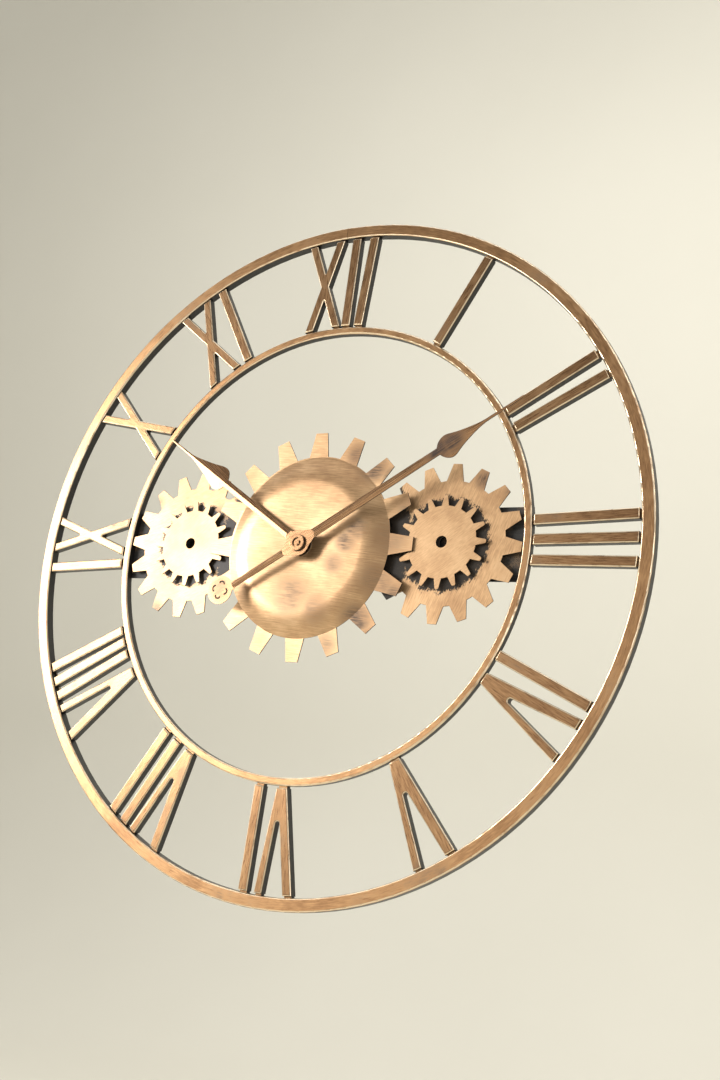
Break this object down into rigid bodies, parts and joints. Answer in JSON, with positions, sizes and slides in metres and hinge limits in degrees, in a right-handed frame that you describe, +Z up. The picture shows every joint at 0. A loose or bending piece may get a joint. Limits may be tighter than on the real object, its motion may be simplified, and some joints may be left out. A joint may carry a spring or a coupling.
{
  "type": "skeleton wall clock",
  "caption": "Open round wall clock: two rings joined by Roman numerals, fixed decorative gears on a cross strip, spade hands and a battery movement.",
  "frame": {"origin": "the point on the wall plane where the top of the inner ring's inner wall rests on its nail", "axes": "+X to the right as the dial is read, +Y into the wall, +Z up; the dial faces -Y"},
  "size_m": [0.6099, 0.0301, 0.61],
  "materials": {
    "outer_ring_paint": "antique copper-gold over black, front brushed, sides black",
    "inner_ring_paint": "antique copper-gold over black, front brushed, sides black",
    "numeral_paint": "antique copper-gold over black, edges rubbed bright",
    "black_sheet": "semi-matt black with specks of gold overspray",
    "centre_gear_paint": "satin copper-gold",
    "large_gear_paint": "antique gold with black undercoat showing",
    "small_gear_paint": "antique gold",
    "hand_paint": "satin antique gold",
    "brass": "turned",
    "rubber": "moulded",
    "steel": "stamped",
    "contact_plate": "nickel plated",
    "case_plastic": "moulded black",
    "gear_plastic": "moulded natural white",
    "arbor_brass": "turned",
    "magnet": "bonded magnet",
    "coil_copper": "enamelled copper wire",
    "board": "printed circuit board",
    "battery_jacket": "plain printed jacket"
  },
  "bodies": {
    "frame": {"centre_gear": "centre_gear_paint", "circuit_board": "board", "coil": "coil_copper", "coil_core": "steel", "cross_strip": "black_sheet", "dial_nut": "brass", "dial_washer": "steel", "dish_posts": "black_sheet", "inner_ring": "inner_ring_paint", "left_gear_spacers": "black_sheet", "left_large_gear": "large_gear_paint", "left_small_gear": "small_gear_paint", "movement_case": "case_plastic", "movement_cover": "case_plastic", "movement_gasket": "rubber", "negative_contact": "contact_plate", "numeral_01_bars": "numeral_paint", "numeral_02_bars": "numeral_paint", "numeral_03_bars": "numeral_paint", "numeral_04_bars": "numeral_paint", "numeral_04_v": "numeral_paint", "numeral_05_v": "numeral_paint", "numeral_06_bars": "numeral_paint", "numeral_06_v": "numeral_paint", "numeral_07_bars": "numeral_paint", "numeral_07_v": "numeral_paint", "numeral_08_bars": "numeral_paint", "numeral_08_v": "numeral_paint", "numeral_09_bars": "numeral_paint", "numeral_09_x": "numeral_paint", "numeral_10_x": "numeral_paint", "numeral_11_bars": "numeral_paint", "numeral_11_x": "numeral_paint", "numeral_12_bars": "numeral_paint", "numeral_12_x": "numeral_paint", "outer_ring": "outer_ring_paint", "positive_contact": "contact_plate", "quartz_crystal": "steel", "right_gear_spacers": "black_sheet", "right_large_gear": "large_gear_paint", "right_small_gear": "small_gear_paint", "stator": "steel", "threaded_bushing": "brass", "train_bridge": "gear_plastic"},
    "minute": {"minute_hand": "hand_paint", "minute_hand_collet": "hand_paint", "hand_nut": "hand_paint", "centre_arbor": "arbor_brass"},
    "hour": {"hour_hand": "hand_paint", "hour_hand_collet": "brass", "hour_wheel": "gear_plastic"},
    "minute_wheel": {"minute_wheel": "gear_plastic"},
    "set_knob": {"set_knob": "gear_plastic"},
    "third_wheel": {"third_wheel": "gear_plastic"},
    "seconds_wheel": {"seconds_wheel": "gear_plastic"},
    "intermediate_wheel": {"intermediate_wheel": "gear_plastic"},
    "rotor": {"rotor": "magnet"},
    "battery": {"battery": "battery_jacket"}
  },
  "joints": [
    {"name": "minute_hand_turn", "type": "hinge", "parent": "frame", "child": "minute", "pos_m": [0.0004, 0, -0.2005], "axis": [0, 1, 0], "continuous": true},
    {"name": "hour_hand_turn", "type": "hinge", "parent": "frame", "child": "hour", "pos_m": [0.0004, 0, -0.2005], "axis": [0, 1, 0], "continuous": true},
    {"name": "minute_wheel_turn", "type": "hinge", "parent": "frame", "child": "minute_wheel", "pos_m": [0.0124, 0, -0.2005], "axis": [0, 1, 0], "continuous": true},
    {"name": "set_knob_turn", "type": "hinge", "parent": "frame", "child": "set_knob", "pos_m": [0.02089, 0, -0.19201], "axis": [0, 1, 0], "continuous": true},
    {"name": "third_wheel_turn", "type": "hinge", "parent": "frame", "child": "third_wheel", "pos_m": [0.00602, 0, -0.19076], "axis": [0, 1, 0], "continuous": true},
    {"name": "seconds_wheel_turn", "type": "hinge", "parent": "frame", "child": "seconds_wheel", "pos_m": [-0.00196, 0, -0.18785], "axis": [0, 1, 0], "continuous": true},
    {"name": "intermediate_wheel_turn", "type": "hinge", "parent": "frame", "child": "intermediate_wheel", "pos_m": [-0.00896, 0, -0.18785], "axis": [0, 1, 0], "continuous": true},
    {"name": "rotor_turn", "type": "hinge", "parent": "frame", "child": "rotor", "pos_m": [-0.01404, 0, -0.1897], "axis": [0, 1, 0], "continuous": true},
    {"name": "battery_slide", "type": "slide", "parent": "frame", "child": "battery", "axis": [0, 1, 0], "range_m": [0, 0.02]}
  ],
  "couplings": [
    {"joint": "hour_hand_turn", "follows": "minute_hand_turn", "ratio": 0.083333},
    {"joint": "minute_wheel_turn", "follows": "minute_hand_turn", "ratio": -0.33333},
    {"joint": "set_knob_turn", "follows": "minute_hand_turn", "ratio": 1},
    {"joint": "third_wheel_turn", "follows": "minute_hand_turn", "ratio": -8},
    {"joint": "seconds_wheel_turn", "follows": "minute_hand_turn", "ratio": 60},
    {"joint": "intermediate_wheel_turn", "follows": "minute_hand_turn", "ratio": -360},
    {"joint": "rotor_turn", "follows": "minute_hand_turn", "ratio": 1800}
  ]
}
